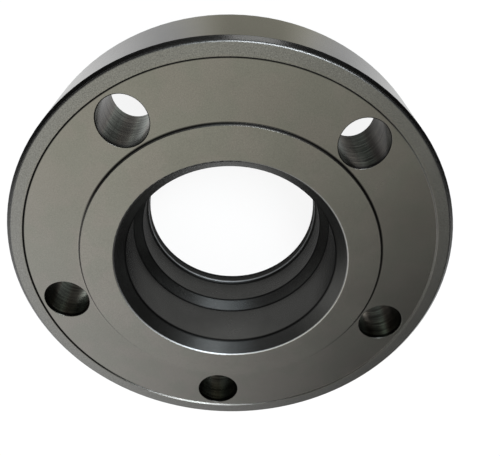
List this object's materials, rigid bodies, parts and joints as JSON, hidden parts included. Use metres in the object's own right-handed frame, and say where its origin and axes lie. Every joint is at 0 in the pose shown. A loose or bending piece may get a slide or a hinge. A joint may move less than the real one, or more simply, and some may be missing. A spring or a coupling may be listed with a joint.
{
  "type": "wheel spacer",
  "caption": "Hub-centric wheel spacer: a thick turned disc with plain bolt holes, a raised pad round a stepped bore, and a lip that centres the wheel.",
  "frame": {"origin": "centre of the end of the centring lip, on which the part lies", "axes": "+Z along the bore axis, from the wheel side to the hub side; +Y through the centre of one bolt hole"},
  "size_m": [0.149, 0.149, 0.042],
  "materials": {
    "anodised_aluminium": "satin, dark grey hard anodised"
  },
  "bodies": {
    "root": {"wheel_spacer": "anodised_aluminium"}
  },
  "joints": []
}
